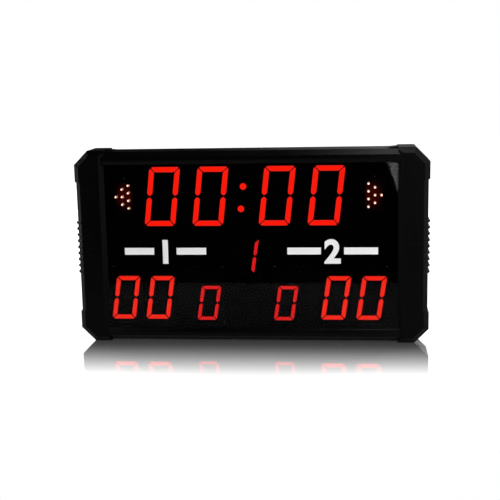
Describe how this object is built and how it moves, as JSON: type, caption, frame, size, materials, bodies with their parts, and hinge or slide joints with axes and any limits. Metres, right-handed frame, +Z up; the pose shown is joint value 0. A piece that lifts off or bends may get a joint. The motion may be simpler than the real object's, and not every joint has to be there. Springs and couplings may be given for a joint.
{
  "type": "electronic scoreboard",
  "caption": "Portable electronic scoreboard with seven-segment clock, score, foul and period digits, arrow lamps, a smoked window, extruded rails and ribbed end caps.",
  "frame": {"origin": "under the middle of the board, on the surface that its end caps stand on", "axes": "+X to the right of a viewer who faces the display, +Y to the back, +Z up; the display faces -Y"},
  "size_m": [0.607, 0.08, 0.335],
  "materials": {
    "black_aluminium": "black anodised satin",
    "cap_plastic": "fine moulded texture",
    "smoked_acrylic": "polished smoked tint",
    "black_sheet": "black powder coat",
    "black_steel": "black zinc",
    "plain_steel": "zinc plated",
    "bare_aluminium": "mill finish",
    "switch_black": "moulded",
    "rocker_black": "polished moulded",
    "nylon": "natural nylon",
    "battery_wrap": "shrink wrap",
    "buzzer_black": "moulded",
    "component_black": "moulded",
    "circuit_green": "solder mask",
    "circuit_black": "black solder mask",
    "grey_cable": "ribbon insulation",
    "red_lead": "wire insulation",
    "display_black": "matte black face",
    "red_light": "diffusing light guide",
    "unlit_red": "dark tinted light guide"
  },
  "bodies": {
    "board": {"battery_pack": "battery_wrap", "battery_strap": "bare_aluminium", "board_pillars": "nylon", "bottom_rail": "black_aluminium", "bracket_inserts": "plain_steel", "buzzer": "buzzer_black", "clock_board": "circuit_black", "clock_minutes_tens_housing": "display_black", "clock_minutes_tens_segments": "red_light", "clock_minutes_units_housing": "display_black", "clock_minutes_units_segments": "red_light", "clock_seconds_tens_housing": "display_black", "clock_seconds_tens_segments": "red_light", "clock_seconds_units_housing": "display_black", "clock_seconds_units_segments": "red_light", "colon_housing": "display_black", "colon_lamps": "red_light", "controller_board": "circuit_green", "controller_components": "component_black", "dc_inlet": "switch_black", "dc_inlet_nut": "plain_steel", "display_tray": "black_sheet", "end_cap_screws": "black_steel", "front_window": "smoked_acrylic", "guest_board": "circuit_black", "guest_foul_housing": "display_black", "guest_foul_segments": "red_light", "guest_score_tens_housing": "display_black", "guest_score_tens_segments": "red_light", "guest_score_units_housing": "display_black", "guest_score_units_segments": "red_light", "home_board": "circuit_black", "home_foul_housing": "display_black", "home_foul_segments": "red_light", "home_score_tens_housing": "display_black", "home_score_tens_segments": "red_light", "home_score_units_housing": "display_black", "home_score_units_segments": "red_light", "left_arrow_board": "circuit_black", "left_arrow_lamps": "red_light", "left_end_cap": "cap_plastic", "period_board": "circuit_black", "period_housing": "display_black", "period_segments": "red_light", "power_leads": "red_lead", "power_switch_body": "switch_black", "rear_panel": "black_sheet", "rear_panel_screws": "black_steel", "receiver_shield": "plain_steel", "remote_receiver": "circuit_green", "ribbon_cables": "grey_cable", "right_arrow_board": "circuit_black", "right_arrow_lamps": "red_light", "right_end_cap": "cap_plastic", "strap_screws": "plain_steel", "switch_terminals": "plain_steel", "top_rail": "black_aluminium", "unlit_segments": "unlit_red"},
    "rocker": {"power_rocker": "rocker_black"}
  },
  "joints": [
    {"name": "power_rocker_tilt", "type": "hinge", "parent": "board", "child": "rocker", "pos_m": [0.215, 0.034, 0.06], "axis": [1, 0, 0], "range_deg": [-24, 0]}
  ]
}
